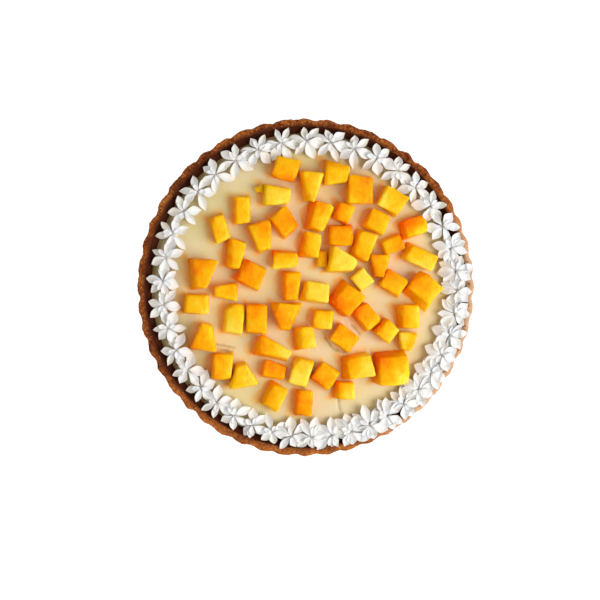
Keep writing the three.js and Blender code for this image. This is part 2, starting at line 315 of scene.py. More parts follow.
def mango_material():
    material, tree, places = new_material("ripe_mango_flesh")
    # The ripeness number also carries painted shade on the dice's sides and on their side away from the
    # window.
    ripeness = add_node(tree, "Attribute", attribute_name="ripeness").outputs["Fac"]
    patches = add_node(tree, "TexNoise", {"Scale": spaced(FLESH_PATCH), "Detail": 2.0}, {"Vector": places})
    along = add_node(tree, "Mapping", {"Scale": FIBRE_STRETCH}, {"Vector": places})
    fibres = add_node(
        tree, "TexNoise", {"Scale": spaced(FIBRE_SPACING), "Detail": 3.0}, {"Vector": along.outputs["Vector"]}
    )
    tone = ripeness
    for pattern, shift in ((patches, PATCH_SHIFT), (fibres, FIBRE_SHIFT)):
        moved = add_node(
            tree, "MapRange", links={"Value": pattern.outputs["Fac"]},
            values={"From Min": NOISE_LOW, "From Max": NOISE_HIGH, "To Min": -shift, "To Max": shift},
        )
        tone = add_node(
            tree, "Math", links={0: tone, 1: moved.outputs["Result"]}, operation="ADD"
        ).outputs["Value"]
    colour = add_node(tree, "ValToRGB", links={"Fac": tone}, stops=MANGO_FLESH)
    relief = add_node(
        tree, "Bump", {"Strength": 0.3, "Distance": FIBRE_DEPTH * MM}, {"Height": fibres.outputs["Fac"]}
    )
    roughness = add_node(
        tree, "MapRange", {"To Min": 0.38, "To Max": 0.55}, {"Value": fibres.outputs["Fac"]}
    )
    close_material(
        tree, colour.outputs["Color"], roughness.outputs["Result"], relief.outputs["Normal"],
        {
            "IOR": 1.34, "Subsurface Weight": 1.0, "Subsurface Radius": (0.8, 0.3, 0.04),
            "Subsurface Scale": 5 * MM, "Specular IOR Level": 0.14,
        },
    )
    return material


mango_finish = mango_material()
print("made", mango_finish.name)

# %% [markdown]
# ## From points to pieces
# The crust and the custard are both turned: a half section goes round the axis, and each point is then
# moved a little. Blender's screw modifier turns a section too, but a mesh built from rings of points
# lets every point have its own place. One function builds such a closed mesh. Another turns any mesh
# data into a piece that rides on the tart and wears a material. A third writes one number for each
# point onto the mesh, for the material to read.

# %% Mesh helpers
def mesh_piece(name, mesh, material):
    """Puts a mesh on the tart as a smooth-shaded piece with one material."""
    piece = bpy.data.objects.new(name, mesh)
    bpy.context.collection.objects.link(piece)
    mesh.materials.clear()
    mesh.materials.append(material)
    mesh.shade_smooth()
    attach(piece, "root")
    return piece


def ring_middle(ring):
    return [sum(axis) / len(ring) for axis in zip(*ring)]


def ringed_mesh(name, rings):
    """A closed mesh from rings of points, the first and last ring closed by a fan."""
    count = len(rings[0])
    points = [point for ring in rings for point in ring]
    faces = []
    for lower in range(len(rings) - 1):
        for step in range(count):
            after = (step + 1) % count
            base = lower * count
            faces.append((base + step, base + after, base + count + after, base + count + step))
    first, last = len(points), len(points) + 1
    points += [ring_middle(rings[0]), ring_middle(rings[-1])]
    top = (len(rings) - 1) * count
    for step in range(count):
        after = (step + 1) % count
        faces.append((first, after, step))
        faces.append((last, top + step, top + after))
    mesh = bpy.data.meshes.new(name)
    mesh.from_pydata(points, [], faces)
    return mesh


def keep_number(mesh, name, values):
    """Writes one number for each point of the mesh under a name that a material can read."""
    mesh.attributes.new(name, "FLOAT", "POINT").data.foreach_set("value", values)


print("the middle of a ring of three points:", ring_middle([(0, 0, 0), (3, 0, 0), (0, 3, 0)]))

# %% [markdown]
# ## The fluted crust
# The wall leans out, its outer face has shallow round lobes, no two quite alike, and its rim is a
# rounded, broken edge. A displace modifier could roughen the whole of it, but here each part needs its
# own amount. So the section is written as rows of radius, height and how much of the fluting, of the
# rim's slow wave, of the crumbs and of the painted shade each row takes. Crumb-sized noise then pushes
# each point in or out, except on the underside, which the tin leaves flat.

# %% Crust section
FLUTES = 48
FLUTE_DEPTH = 2.0
GROOVE_SOFTNESS = 0.35
GROOVE_WANDER = 0.014
GROOVE_UNEVENNESS = 0.7
STEPS_PER_FLUTE = 24
CREST_RADIUS = 119.6
WALL_HEIGHT = 25
WALL_FLARE = 4.5
WALL_ROWS = 24
RIM_ROUNDING = 2.6
RIM_ROWS = 18
SHOULDER = WALL_HEIGHT - RIM_ROUNDING
RIM_INNER_RADIUS = 113.2
BASE_THICKNESS = 4
FLOOR_RADIUS = 106.5
CUSTARD_TOP = 19.5
CUSTARD_RADIUS = 109
RIM_UNEVENNESS = 0.5
COARSE_CRUMBS = 3.4
FINE_CRUMBS = 1.2
CRUMB_PUSH = 0.75
BASE_RADII = (30, 60, 90, 105)
INNER_HEIGHTS = (SHOULDER, 21.7, 21, 20.3, 19.6, 18.8)
DEEP_HEIGHTS = (14, 9, BASE_THICKNESS + 0.4)
# Where the wall leans out and where it was pressed in: the direction, and where it starts to fade and
# ends, in degrees to either side.
SLACK_WALL = (250, 0, 45)
PRESSED_WALL = (165, 0, 45)

def flute_dip(angle):
    """How far the outer face lies inside the crests, with soft grooves of uneven depth."""
    shifted = angle + GROOVE_WANDER * noise.noise(Vector((9 * math.cos(angle), 9 * math.sin(angle), 2)))
    wave = math.hypot(math.cos(shifted * FLUTES / 2), GROOVE_SOFTNESS) / math.hypot(1, GROOVE_SOFTNESS)
    uneven = GROOVE_UNEVENNESS * noise.noise(Vector((6 * math.cos(angle), 6 * math.sin(angle), 7)))
    return FLUTE_DEPTH * (1 + uneven) * (1 - wave)


def rim_wave(angle):
    """The slow rise and fall of the rim as it goes round."""
    return RIM_UNEVENNESS * (0.6 * math.sin(3 * angle) + 0.4 * math.sin(7 * angle + 1))


def near_angle(angle, middle, flat, wide):
    """1 within the flat angle of the middle, in degrees, falling to 0 at the wide one."""
    away = abs((math.degrees(angle) - middle + 180) % 360 - 180)
    return smooth_step(wide, flat, away)


def out_of_round(angle):
    """How much further out the wall leans: a little pressed in on one side, slack on the next."""
    return 0.5 * near_angle(angle, *SLACK_WALL) - 0.4 * near_angle(angle, *PRESSED_WALL)


def crust_section():
    """Rows of radius, height, and the shares of the fluting, the rim's wave, the crumbs and the painted
    shade.
    """
    rows = [(radius, 0.0, 0.0, 0.0, 0.0, 0.0) for radius in BASE_RADII]
    foot = CREST_RADIUS - WALL_FLARE
    rows += [(foot - 3, 0.0, 0.6, 0.0, 0.0, 0.0), (foot - 1, 0.0, 1.0, 0.0, 0.0, 0.0)]
    for row in range(WALL_ROWS + 1):
        share = row / WALL_ROWS
        height = 0.5 + (SHOULDER - 0.5) * share
        rows.append((foot + WALL_FLARE * height / WALL_HEIGHT, height, 1.0, share, 0.75, 0.0))
    crest = CREST_RADIUS - 0.4
    rim_middle = (RIM_INNER_RADIUS + crest) / 2
    rim_half = (crest - RIM_INNER_RADIUS) / 2
    for row in range(1, RIM_ROWS):
        turn = math.pi * row / RIM_ROWS
        across = math.copysign(abs(math.cos(turn)) ** 0.7, math.cos(turn))
        radius = rim_middle + rim_half * across
        height = SHOULDER + RIM_ROUNDING * math.sin(turn) ** 0.6
        # Painted shade rises towards the rim's inner side, and the inner face below takes it in full.
        rows.append((radius, height, 0.5 + 0.5 * across, 1.0, 1.0, smooth_step(-0.5, 1.0, -across)))
    for height in INNER_HEIGHTS:
        share = (height - CUSTARD_TOP) / (SHOULDER - CUSTARD_TOP)
        radius = CUSTARD_RADIUS + (RIM_INNER_RADIUS - CUSTARD_RADIUS) * share
        rows.append((radius, height, 0.0, share, 0.5, 1.0))
    rows += [(FLOOR_RADIUS, height, 0.0, 0.0, 0.0, 1.0) for height in DEEP_HEIGHTS]
    rows += [(radius, BASE_THICKNESS, 0.0, 0.0, 0.0, 0.0) for radius in reversed(BASE_RADII)]
    return rows


def crust_point(angle, row):
    """Where one point of the section lies at this angle, in metres."""
    radius, height, fluting, wave, crumbs, _ = row
    radius += wave * out_of_round(angle) - fluting * flute_dip(angle)
    height += wave * rim_wave(angle)
    place = Vector((radius * math.cos(angle), radius * math.sin(angle), height))
    if crumbs:
        coarse = noise.fractal(place / COARSE_CRUMBS, 0.8, 2.1, 3)
        fine = noise.noise(place / FINE_CRUMBS)
        push = crumbs * (0.5 * coarse + 0.32 * fine)
        place += Vector((math.cos(angle), math.sin(angle), 0)) * push * CRUMB_PUSH
        place.z += push * smooth_step(15, WALL_HEIGHT, height)
    return place * MM


print("rows in the crust's section:", len(crust_section()))

# %% Crust
# Painted light: where the rim is painted paler, as if lit brighter. Each: how much, the direction in
# degrees, and how far to either side of it the paleness stays full and where it ends.
LIT_RIM = [(0.6, -15, 25, 60), (0.22, -95, 30, 65)]
# Painted shade on the rim: strongest in this direction, in degrees, full to one angle either side of it and
# gone by the other; elsewhere it keeps the least share below.
SHADED_RIM = (150, 60, 95)
LEAST_RIM_SHADE = 0.4

def build_crust():
    steps = FLUTES * STEPS_PER_FLUTE
    angles = [math.tau * step / steps for step in range(steps)]
    section = crust_section()
    mesh = ringed_mesh("crust_biscuit", [[crust_point(angle, row) for angle in angles] for row in section])
    painted_shade, pale = [], []
    for radius, height, *_, share in section:
        on_rim = radius > RIM_INNER_RADIUS
        for angle in angles:
            # Painted shade on the rim, strongest on the side away from the window.
            rim_shade = LEAST_RIM_SHADE + (1 - LEAST_RIM_SHADE) * near_angle(angle, *SHADED_RIM)
            # Painted light on the rim's top, paler towards the window.
            painted_light_tint = sum(most * near_angle(angle, *where) for most, *where in LIT_RIM)
            painted_shade.append(share * rim_shade if on_rim else share)
            pale.append(painted_light_tint * smooth_step(14, 23, height))
    keep_number(mesh, "painted_shade", painted_shade + [0.0, 0.0])
    keep_number(mesh, "pale", pale + [0.0, 0.0])
    piece = mesh_piece("crust_biscuit", mesh, biscuit)
    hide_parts("crust")
    return piece


crust = build_crust()
print("crust faces:", len(crust.data.polygons))

# %% [markdown]
# ## The custard
# The custard was poured and set in the crust, so it is level, with slow swells, a skin that cracked in
# a few places and rough patches where it bubbled. It rises a hair under the dice and the cream, which
# sink into it. The juice stains could be painted by hand, but then they would stay behind when a die
# moved. So points all over the foot of every die go into a search tree, which tells each point of the
# custard how near the nearest die is. The stain is stronger and reaches further on the side of each die
# away from the window: there it is painted shadow as well as juice.

# %% Custard surface
SINK = 0.45
FOOT_HEIGHT = CUSTARD_TOP + 1.5
FOOT_STEPS = 15
CUSTARD_RINGS = 110
CUSTARD_STEPS = 480
CRACK_DEPTH = 0.7
SWELL_HEIGHT, SWELL_SIZE = 0.3, 30
WAVE_HEIGHT, WAVE_SIZE = 0.08, 5
DIMPLE_DEPTH, DIMPLE_SIZE = 0.45, 2.2
WALL_CLIMB, CLIMB_WIDTH = 0.5, 2.5

# Cracks in the skin, in millimetres from the middle: where each starts and ends.
SKIN_CRACKS = [
    ((23.3, -80.5), (24.7, -88.0)), ((-64.2, -40.3), (-50.8, -43.0)), ((-60.0, -44.5), (-52.0, -46.0)),
    ((14.0, -36.0), (20.0, -44.0)), ((20.0, -44.0), (27.0, -46.5)), ((33.0, -27.0), (38.0, -33.0)),
]
# Rough patches: the middle of each and how far it reaches.
ROUGH_PATCHES = [((24.0, -34.0), 15.0), ((4.0, -42.0), 9.0), ((-58.0, -42.0), 9.0)]

def crack_depth(x, y):
    """How deep the cracks are at a place: they wander a little and have soft sides."""
    depth = 0.0
    for (x1, y1), (x2, y2) in SKIN_CRACKS:
        dx, dy = x2 - x1, y2 - y1
        share = min(max(((x - x1) * dx + (y - y1) * dy) / (dx * dx + dy * dy), 0.0), 1.0)
        wander = 0.8 * noise.noise(Vector((x / 3, y / 3, 5)))
        gap = math.hypot(x - x1 - share * dx, y - y1 - share * dy) + wander
        depth = max(depth, CRACK_DEPTH * (1 - smooth_step(0.2, 1.4, abs(gap))))
    return depth


def roughness_at(x, y):
    """How rough the custard is at a place, from 0 to 1 in the middle of a rough patch."""
    rough = 0.0
    for (middle_x, middle_y), reach in ROUGH_PATCHES:
        away = math.hypot(x - middle_x, y - middle_y)
        rough = max(rough, 1 - smooth_step(0.4 * reach, reach, away))
    return rough


def custard_height(x, y):
    """The custard's top at a place: slow swells, faint waves, dimples, a climb at the wall, cracks."""
    swell = SWELL_HEIGHT * noise.noise(Vector((x / SWELL_SIZE, y / SWELL_SIZE, 0)))
    waves = swell + WAVE_HEIGHT * noise.noise(Vector((x / WAVE_SIZE, y / WAVE_SIZE, 3)))
    rough = DIMPLE_DEPTH * roughness_at(x, y)
    dimples = rough * noise.noise(Vector((x / DIMPLE_SIZE, y / DIMPLE_SIZE, 9)))
    climb = WALL_CLIMB * smooth_step(CUSTARD_RADIUS - CLIMB_WIDTH, CUSTARD_RADIUS, math.hypot(x, y))
    return CUSTARD_TOP + SINK + waves + dimples + climb - crack_depth(x, y)


def foot_points(mesh):
    """Points in millimetres along the lower edges of a die and between them and its middle."""
    points = []
    low = [v.co / MM for v in mesh.vertices if v.co.z < FOOT_HEIGHT * MM]
    middle = sum(low, Vector()) / len(low)
    for edge in mesh.edges:
        start, end = (mesh.vertices[index].co for index in edge.vertices)
        if max(start.z, end.z) < FOOT_HEIGHT * MM:
            for step in range(FOOT_STEPS + 1):
                point = start.lerp(end, step / FOOT_STEPS) / MM
                points += [middle.lerp(point, share) for share in (0.25, 0.5, 0.75, 1)]
    return points


def foot_tree():
    """A search tree of points all over the foot of every die."""
    points = []
    for name, node in nodes.items():
        if name.startswith("mango_"):
            points += foot_points(node.data)
    tree = kdtree.KDTree(len(points))
    for index, point in enumerate(points):
        tree.insert((point.x, point.y, 0), index)
    tree.balance()
    return tree


feet = foot_tree()
print("cracks:", len(SKIN_CRACKS), "from the middle to a die, in mm:", round(feet.find((0, 0, 0))[2], 1))

# %% Custard
# Juice stain and painted shadow: how far they reach, and the side of each die, away from the window, where
# they are stronger and reach further.
JUICE_AND_SHADOW_REACH = 6.4
SHADOW_SIDE = Vector((-0.95, 0.31, 0))
# Each millimetre from a die counts as more beside it and on its lit side, and as less on the side away
# from the window, where the painted shadow falls.
FELT_BESIDE = 1.5
FELT_TOWARDS_SHADOW = 0.95
SHADOW_SHARE_BESIDE = 0.62
# Painted shade on the custard: how wide it is against the crust, how strong there, and how strong in the
# cracks.
WALL_SHADE_WIDTH = 4.5
WALL_SHADE = 0.9
CRACK_SHADE = 0.6

def juice_and_shadow_at(place):
    """How much juice stain and painted shadow a place has: more, and from further, on the side of each die
    away from the window.
    """
    nearest, _, distance = feet.find(place)
    towards_shadow = (place - nearest).dot(SHADOW_SIDE) / max(distance, 1)
    felt = distance * (FELT_BESIDE - FELT_TOWARDS_SHADOW * towards_shadow) + 0.6 * noise.noise(place / 4)
    most = SHADOW_SHARE_BESIDE + (1 - SHADOW_SHARE_BESIDE) * towards_shadow
    return min(max(1 - felt / JUICE_AND_SHADOW_REACH, 0), 1) * most


def darkening_at(x, y):
    """How much painted shade the custard takes at a place: against the crust, and in the cracks."""
    wall_start = CUSTARD_RADIUS - WALL_SHADE_WIDTH
    at_wall = WALL_SHADE * smooth_step(wall_start, CUSTARD_RADIUS - 0.5, math.hypot(x, y))
    return max(at_wall, CRACK_SHADE * crack_depth(x, y))


def build_custard():
    angles = [math.tau * step / CUSTARD_STEPS for step in range(CUSTARD_STEPS)]
    underside = BASE_THICKNESS + 0.3
    rings = []
    for radius in (60, FLOOR_RADIUS - 0.4):
        rings.append([Vector((radius * math.cos(a), radius * math.sin(a), underside)) * MM for a in angles])
    edge = CUSTARD_RADIUS - 0.1
    for ring in range(CUSTARD_RINGS):
        radius = edge * (1 - ring / CUSTARD_RINGS)
        row = []
        for a in angles:
            x, y = radius * math.cos(a), radius * math.sin(a)
            row.append(Vector((x, y, custard_height(x, y))) * MM)
        rings.append(row)
    mesh = ringed_mesh("custard_filling", rings)
    juice_and_shadow, painted_shade = [], []
    for vertex in mesh.vertices:
        x, y, _ = vertex.co / MM
        juice_and_shadow.append(juice_and_shadow_at(Vector((x, y, 0))))
        painted_shade.append(darkening_at(x, y))
    keep_number(mesh, "juice_and_shadow", juice_and_shadow)
    keep_number(mesh, "painted_shade", painted_shade)
    piece = mesh_piece("custard_filling", mesh, custard_finish)
    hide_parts("custard")
    return piece


custard = build_custard()
print("custard faces:", len(custard.data.polygons))

# %% [markdown]
# ## The piped cream flowers
# A small closed-star nozzle, held upright and lifted away, leaves a flower. Its petals are like narrow
# leaves: they leave a low foot, arch up, and droop at the tip, and each is hollow down its middle
# between two raised edges. Here a petal is a closed leaf of rings. Six of them, or eight where the ring
# of flowers comes closest to the rim, and three short ones in the heart are joined to the foot by a
# boolean union, which keeps the crisp creases between petals that a remesh would blur. The flowers
# stand on the same ring as in the frame. How far their petals may reach depends on the direction: on
# most sides they end inside the rim, and where the ring comes close to it they lie over it.

# %% One petal and one foot
PETAL_RINGS = 16
PETAL_ARC_POINTS = 9
CREST_SHARE = 0.36
DIMPLE_DROP = 2.4
PETAL_EDGE = 0.7
FOOT_SECTION = ((3.7, 0.0), (4.0, 1.0), (3.6, 2.6), (2.6, 4.0), (1.2, 4.4))
FOOT_SIDES = 18

def petal_height(share, crest, tip):
    """The height of a petal's edges: up from the dimple to the crest, then down to the tip."""
    if share < CREST_SHARE:
        return crest - DIMPLE_DROP * ((CREST_SHARE - share) / CREST_SHARE) ** 2
    return crest - (crest - tip) * ((share - CREST_SHARE) / (1 - CREST_SHARE)) ** 1.7


def petal_rings(length, width, point, crest, tip, bend, roll, groove, lift):
    """A leaf along +X. A larger point makes its tip sharper, roll tips it over to one side, groove is
    how deep its middle lies, and lift says how far it is raised at each distance."""
    rings = []
    for ring in range(PETAL_RINGS + 1):
        share = 0.03 + 0.96 * ring / PETAL_RINGS
        fullness = math.sin(math.pi * share ** 1.3) ** point
        half = width * fullness
        slim = 0.2 + 0.8 * fullness
        edge = petal_height(share, crest, tip)
        rim = PETAL_EDGE * slim
        hollow = groove * fullness * smooth_step(0.06, 0.35, share)
        belly = hollow + slim * (1.3 - 0.7 * share)
        edge += lift(length * share, edge - rim - belly)
        sideways = bend * share * share
        points = []
        for step in range(PETAL_ARC_POINTS + 1):
            turn = math.pi * step / PETAL_ARC_POINTS
            sunk = hollow * (1 - abs(math.cos(turn)) ** 1.3) + roll * half * math.cos(turn)
            points.append((length * share, sideways + half * math.cos(turn), edge - sunk))
        for step in range(1, PETAL_ARC_POINTS):
            turn = math.pi + math.pi * step / PETAL_ARC_POINTS
            depth = rim + belly * abs(math.sin(turn)) ** 0.8 + roll * half * math.cos(turn)
            points.append((length * share, sideways + half * math.cos(turn), edge - depth))
        rings.append(points)
    return rings


def foot_rings():
    turns = [math.tau * step / FOOT_SIDES for step in range(FOOT_SIDES)]
    return [[(r * math.cos(a), r * math.sin(a), z) for a in turns] for r, z in FOOT_SECTION]


print("one petal has", PETAL_RINGS + 1, "rings")

# %% Where each flower stands and how far it reaches
FLOWERS = 41
FIRST_FLOWER = 6.2
SPACING_SWAY, SWAY_FROM = 7.6, 15
RING_RADIUS = 104.2
RING_SHIFT, SHIFT_TURN = 3.2, 25
CREAM_FLOOR = CUSTARD_TOP + 0.3
# How far from the middle the petals' tips may reach, at each direction in degrees.
REACHES = [
    (0, 119.2), (18, 118.4), (40, 114.0), (90, 112.8), (150, 112.2), (200, 112.8), (240, 113.8),
    (280, 114.4), (296, 118.4), (360, 119.2),
]

def wobble(piece, feature):
    """The frame's own unevenness, so that the flowers stand where its ring has them."""
    return math.sin(piece * 12.9 + feature * 4.1)


def flower_place(number):
    """The middle of a flower and its turn. The ring lies a little to one side and its spacing varies."""
    even = number * 360 / FLOWERS
    sway = SPACING_SWAY * (1 - math.cos(math.radians(even - SWAY_FROM)))
    angle = math.radians(FIRST_FLOWER + even + sway + 0.6 * wobble(number, 3))
    shift = RING_SHIFT * math.cos(angle + math.radians(SHIFT_TURN))
    radius = RING_RADIUS + shift + 0.6 * wobble(number, 4)
    spin = angle + math.radians(90 + 10 * wobble(number, 5))
    return Vector((radius * math.cos(angle), radius * math.sin(angle), CREAM_FLOOR)), spin


def point_along(centre, turn, length):
    """The place seen from above that lies this far from a centre in this direction."""
    return centre.xy + length * Vector((math.cos(turn), math.sin(turn)))


def reach_limit(place):
    """The furthest a tip may lie from the middle in the direction of this place."""
    direction = math.degrees(math.atan2(place.y, place.x)) % 360
    for (start, low), (end, high) in zip(REACHES, REACHES[1:]):
        if start <= direction <= end:
            return low + (high - low) * (direction - start) / (end - start)


def petal_length(centre, turn, wanted, slack):
    """Shortens a petal until its tip lies within reach."""
    length = wanted
    tip = point_along(centre, turn, length)
    while tip.length > reach_limit(tip) + slack:
        length -= 0.1
        tip = point_along(centre, turn, length)
    return length


def crust_top(radius):
    """The height of the crust at this distance from the middle, inside its crest."""
    if radius < RIM_INNER_RADIUS:
        share = max(0.0, (radius - CUSTARD_RADIUS) / (RIM_INNER_RADIUS - CUSTARD_RADIUS))
        return CUSTARD_TOP + (SHOULDER - CUSTARD_TOP) * share
    return min(WALL_HEIGHT + 0.4, SHOULDER + 1.5 * (radius - RIM_INNER_RADIUS))


print("flower 1 stands in mm at", [round(c, 1) for c in flower_place(0)[0]])

# %% Petals and foot of one flower
PETALS = 6
EXTRA_PETALS = 2
FULLEST_FROM = 106
HEART_PETALS = 3
PETAL_LENGTH = 12.6
INWARD_STRETCH = 1.08
OVER_RIM = 115.5
RIM_LIFT = 1.2
RIM_TIP = 7.6
CRUST_CLEARANCE = 0.7
# How wide half a petal is, from and to.
RIM_WIDTHS, INWARD_WIDTHS, OUTWARD_WIDTHS = (2.9, 3.8), (2.5, 4.1), (2.1, 3.3)

def placed_part(rings, turn, centre):
    """A closed part, turned round the flower's middle and put in its place, as an object."""
    cos, sin = math.cos(turn), math.sin(turn)
    turned = []
    for ring in rings:
        turned.append([(centre + Vector((x * cos - y * sin, x * sin + y * cos, z))) * MM for x, y, z in ring])
    part = bpy.data.objects.new("part", ringed_mesh("part", turned))
    bpy.context.collection.objects.link(part)
    return part


def outer_petal(centre, turn, size, chance):
    """A petal of the flower's rim: shortened to its reach, and lifted clear of the crust under it."""
    def lift(along, underside):
        under = crust_top(point_along(centre, turn, along).length + 0.6)
        return max(0.0, under + CRUST_CLEARANCE - CREAM_FLOOR - underside)

    inward = point_along(centre, turn, 6).length < centre.xy.length
    wanted = PETAL_LENGTH * size * chance.uniform(0.88, 1.1) * (INWARD_STRETCH if inward else 1.0)
    length = petal_length(centre, turn, wanted, chance.uniform(-1.0, 0.8))
    over_rim = point_along(centre, turn, length).length > OVER_RIM
    widths = RIM_WIDTHS if over_rim else INWARD_WIDTHS if inward else OUTWARD_WIDTHS
    width = chance.uniform(*widths)
    crest, tip = chance.uniform(6.4, 8.3), chance.uniform(2.4, 4.6)
    if over_rim:
        crest, tip = crest + RIM_LIFT, RIM_TIP
    rings = petal_rings(
        length=length, width=width, point=chance.uniform(0.8, 1.4), crest=crest, tip=tip,
        bend=chance.uniform(-1.6, 1.6), roll=chance.uniform(-0.3, 0.3), groove=chance.uniform(1.2, 2.2),
        lift=lift,
    )
    return placed_part(rings, turn, centre)


def heart_petal(centre, chance):
    """A short, steep petal over the foot, where the nozzle was lifted away."""
    rings = petal_rings(
        length=chance.uniform(5.0, 7.5), width=chance.uniform(1.3, 2.0), point=0.9,
        crest=chance.uniform(7.6, 9.0), tip=chance.uniform(7.0, 8.6),
        bend=chance.uniform(-1, 1), roll=chance.uniform(-0.3, 0.3), groove=0.8,
        lift=lambda along, underside: 0.0,
    )
    return placed_part(rings, chance.uniform(0, math.tau), centre)


def flower_parts(number, chance):
    """The foot and all the petals of one flower, each closed on its own."""
    centre, spin = flower_place(number)
    size = 1 + 0.05 * wobble(number, 1)
    parts = [placed_part(foot_rings(), spin, centre)]
    petals = PETALS + (EXTRA_PETALS if centre.xy.length > FULLEST_FROM else 0)
    for petal in range(petals):
        turn = spin + math.tau * petal / petals + math.radians(chance.uniform(-11, 11))
        parts.append(outer_petal(centre, turn, size, chance))
    parts += [heart_petal(centre, chance) for _ in range(HEART_PETALS)]
    return parts


print("petals of a flower:", PETALS, "or", PETALS + EXTRA_PETALS, "and in its heart:", HEART_PETALS)

# %% Join and place the flowers
FLOWER_SEED = 41
CREASE_ANGLE = 55

def joined(parts):
    """The union of closed parts as new mesh data."""
    base, *others = parts
    for other in others:
        union = base.modifiers.new("union", "BOOLEAN")
        union.operation = "UNION"
        union.solver = "MANIFOLD"
        union.object = other
    result = bpy.data.meshes.new_from_object(base.evaluated_get(bpy.context.evaluated_depsgraph_get()))
    for part in parts:
        bpy.data.objects.remove(part)
    return result


def build_flowers():
    chance = random.Random(FLOWER_SEED)
    pieces = []
    for number in range(FLOWERS):
        mesh = joined(flower_parts(number, chance))
        piece = mesh_piece(f"cream_flower_{number + 1:02d}", mesh, cream_finish)
        mesh.set_sharp_from_angle(angle=math.radians(CREASE_ANGLE))
        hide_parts("cream_border")
        pieces.append(piece)
    return pieces


flowers = build_flowers()
print("flowers:", len(flowers), "faces in all:", sum(len(f.data.polygons) for f in flowers))

# %% [markdown]
# ## The mango dice
# Each die was cut by hand, so no face is quite flat and most have an extra facet or two, where the
# knife took a corner. The frame already has each one's own block. A copy of it is cut by its facets'
# planes, and a die with none of its own loses one corner where a seeded slip of the knife says. A bevel
# would round the edges evenly, but flesh rounds unevenly, so a voxel remesh gives the block small even
# faces, smoothing softens its edges, and noise moves its points a little. Its ripeness is a number on
# the mesh that rises towards one side, mostly the side away from the window: partly the side that lay
# nearer the skin, partly painted shade. Its sides and underside are painted deeper still, as painted
# shade.

# %% The dice: how ripe and how cut
# For each die: its ripeness, how much it rises across the die, and the direction in which it rises. The
# direction mostly points away from the window, so the rise is partly riper flesh and partly painted shade.
RIPENESS = {
    1: (0.45, 0.3, -100), 2: (0.35, 0.3, 100), 3: (0.15, 0.2, 120), 4: (0.3, 0.3, 160), 5: (0.5, 0.2, 40),
    6: (0.2, 0.2, 10), 7: (0.3, 0.3, 180), 8: (0.3, 0.3, 160), 9: (0.4, 0.2, 90), 10: (0.48, 0.2, 20),
    11: (0.45, 0.6, 150), 12: (0.5, 0.3, 180), 13: (0.4, 0.2, 130), 14: (0.55, 0.6, 140), 15: (0.56, 0.2, 90),
    16: (0.35, 0.3, 200), 17: (0.45, 0.2, 0), 18: (0.2, 0.4, 90), 19: (0.45, 0.4, 170), 20: (0.35, 0.5, 95),
    21: (0.4, 0.4, 170), 22: (0.35, 0.2, 60), 23: (0.1, 0.3, 180), 24: (0.5, 0.3, 200), 25: (0.0, 0.2, 150),
    26: (0.45, 0.3, 120), 27: (0.45, 0.4, 140), 28: (0.5, 0.4, 150), 29: (0.6, 0.3, 150), 30: (0.35, 0.2, 90),
    31: (0.5, 0.4, 180), 32: (0.1, 0.3, 150), 33: (0.6, 0.4, 190), 34: (0.3, 0.3, 170), 35: (0.15, 0.2, 90),
    36: (0.45, 0.2, 120), 37: (0.5, 0.3, 200), 38: (0.3, 0.2, 150), 39: (0.5, 0.3, 140), 40: (0.35, 0.4, 180),
    41: (0.45, 0.3, 200), 42: (0.3, 0.4, 180), 43: (0.45, 0.2, 100), 44: (0.4, 0.5, 150), 45: (0.2, 0.3, 0),
    46: (0.35, 0.4, 160), 47: (0.4, 0.3, 180), 48: (0.2, 0.2, 150), 49: (0.6, 0.2, 100), 50: (0.05, 0.3, 90),
    51: (0.52, 0.3, 180), 52: (0.3, 0.5, 170), 53: (0.45, 0.6, 140), 54: (0.35, 0.5, 160),
    55: (0.4, 0.3, 150), 56: (0.55, 0.3, 180),
}
# Knife cuts: for each die, the direction a facet faces, how far out it starts and how steep it is.
FACETS = {
    1: [(135, 0.75, 80), (-45, 0.8, 80), (-120, 0.8, 75)], 2: [(95, 0.25, 40), (180, 0.7, 60)],
    3: [(185, 0.7, 60), (80, 0.6, 40)], 4: [(175, 0.5, 50)], 5: [(200, 0.75, 60), (-20, 0.45, 30)],
    7: [(180, 0.6, 60)], 8: [(170, 0.45, 55)], 9: [(60, 0.8, 70), (200, 0.5, 45)], 10: [(150, 0.5, 40)],
    11: [(-25, 0.1, 35), (180, 0.6, 60)], 12: [(190, 0.4, 50)], 13: [(170, 0.5, 50)],
    14: [(-40, 0.35, 45), (60, 0.8, 70)], 16: [(190, 0.45, 50)], 18: [(200, 0.65, 50)],
    19: [(180, 0.2, 40)], 20: [(95, 0.45, 35)], 21: [(180, 0.2, 42)], 23: [(30, 0.75, 60), (190, 0.65, 55)],
    24: [(200, 0.4, 50)], 26: [(200, 0.6, 50), (40, 0.6, 40)], 27: [(120, 0.55, 45), (215, 0.6, 50)],
    28: [(185, 0.3, 48)], 29: [(150, 0.45, 40)], 31: [(0, 0.6, 45), (180, 0.45, 55)],
    32: [(180, 0.5, 52)], 33: [(190, 0.4, 45)], 34: [(90, 0.4, 30)], 35: [(135, 0.5, 70), (30, 0.5, 35)],
    36: [(90, 0.75, 55)], 37: [(-60, 0.7, 60), (150, 0.5, 45)], 39: [(-40, 0.6, 50), (200, 0.5, 45)],
    40: [(180, 0.3, 48)], 41: [(30, 0.7, 60), (160, 0.5, 50)], 42: [(180, 0.15, 42)],
    44: [(-30, 0.5, 50), (140, 0.45, 45)], 46: [(60, 0.6, 55), (185, 0.45, 42)], 47: [(180, 0.6, 55)],
    48: [(160, 0.55, 50), (20, 0.5, 35)], 49: [(-90, 0.7, 60)], 50: [(135, 0.55, 65)],
    51: [(-60, 0.55, 50)], 52: [(160, 0.45, 48)], 53: [(-40, 0.45, 40), (150, 0.75, 55)],
    54: [(180, 0.35, 50)], 55: [(150, 0.35, 42)], 56: [(170, 0.5, 52)],
}
